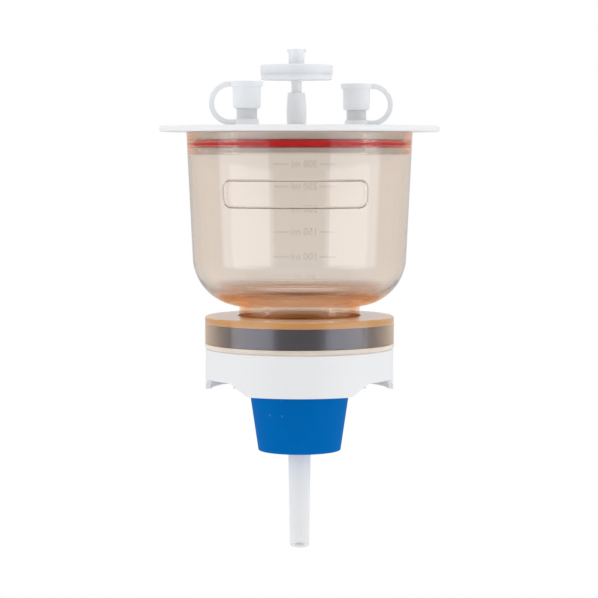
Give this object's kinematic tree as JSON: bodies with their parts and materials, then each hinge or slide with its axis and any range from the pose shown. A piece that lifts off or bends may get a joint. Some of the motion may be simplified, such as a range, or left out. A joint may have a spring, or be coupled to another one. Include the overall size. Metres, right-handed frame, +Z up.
{
  "type": "vacuum filtration unit",
  "caption": "Magnetic filter funnel with lid, vent filter and capped feed ports on a support base with a flask stopper and outlet stem.",
  "frame": {"origin": "on the vertical axis, half-way up the tapered stopper, where a flask's neck grips it", "axes": "+Z up along the axis from the outlet stem to the vent filter, -Y to the front, +X to the right"},
  "size_m": [0.1126, 0.1126, 0.2025],
  "materials": {
    "white_polymer": "satin white moulding",
    "clear_amber_polymer": "clear amber moulding",
    "translucent_silicone": "translucent silicone",
    "red_silicone": "red silicone",
    "blue_silicone": "blue silicone",
    "white_silicone": "white silicone",
    "magnet": "dark sintered magnet",
    "clear_housing": "translucent moulding",
    "membrane": "white filter membrane"
  },
  "bodies": {
    "base": {"support_base": "white_polymer", "base_magnet_cover": "white_polymer", "support_screen": "white_polymer", "membrane_filter": "membrane", "stopper": "blue_silicone", "base_magnet_1": "magnet", "base_magnet_2": "magnet", "base_magnet_3": "magnet", "base_magnet_4": "magnet"},
    "funnel": {"funnel": "clear_amber_polymer", "funnel_magnet_cover": "clear_amber_polymer", "funnel_gasket": "white_silicone", "funnel_magnet_1": "magnet", "funnel_magnet_2": "magnet", "funnel_magnet_3": "magnet", "funnel_magnet_4": "magnet"},
    "lid": {"lid": "white_polymer", "lid_seal_ring": "red_silicone", "vent_sleeve": "translucent_silicone"},
    "cap_left": {"port_cap_left": "translucent_silicone"},
    "cap_right": {"port_cap_right": "translucent_silicone"},
    "vent_filter": {"vent_filter_outlet": "clear_housing", "vent_filter_disc": "membrane", "vent_filter_inlet": "clear_housing"}
  },
  "joints": [
    {"name": "funnel_lift", "type": "slide", "parent": "base", "child": "funnel", "axis": [0, 0, 1], "range_m": [0, 0.1]},
    {"name": "lid_lift", "type": "slide", "parent": "funnel", "child": "lid", "axis": [0, 0, 1], "range_m": [0, 0.06]},
    {"name": "cap_left_lift", "type": "slide", "parent": "lid", "child": "cap_left", "axis": [0, 0, 1], "range_m": [0, 0.03]},
    {"name": "cap_right_lift", "type": "slide", "parent": "lid", "child": "cap_right", "axis": [0, 0, 1], "range_m": [0, 0.03]},
    {"name": "vent_filter_pull", "type": "slide", "parent": "lid", "child": "vent_filter", "axis": [0, 0, 1], "range_m": [0, 0.03]}
  ]
}
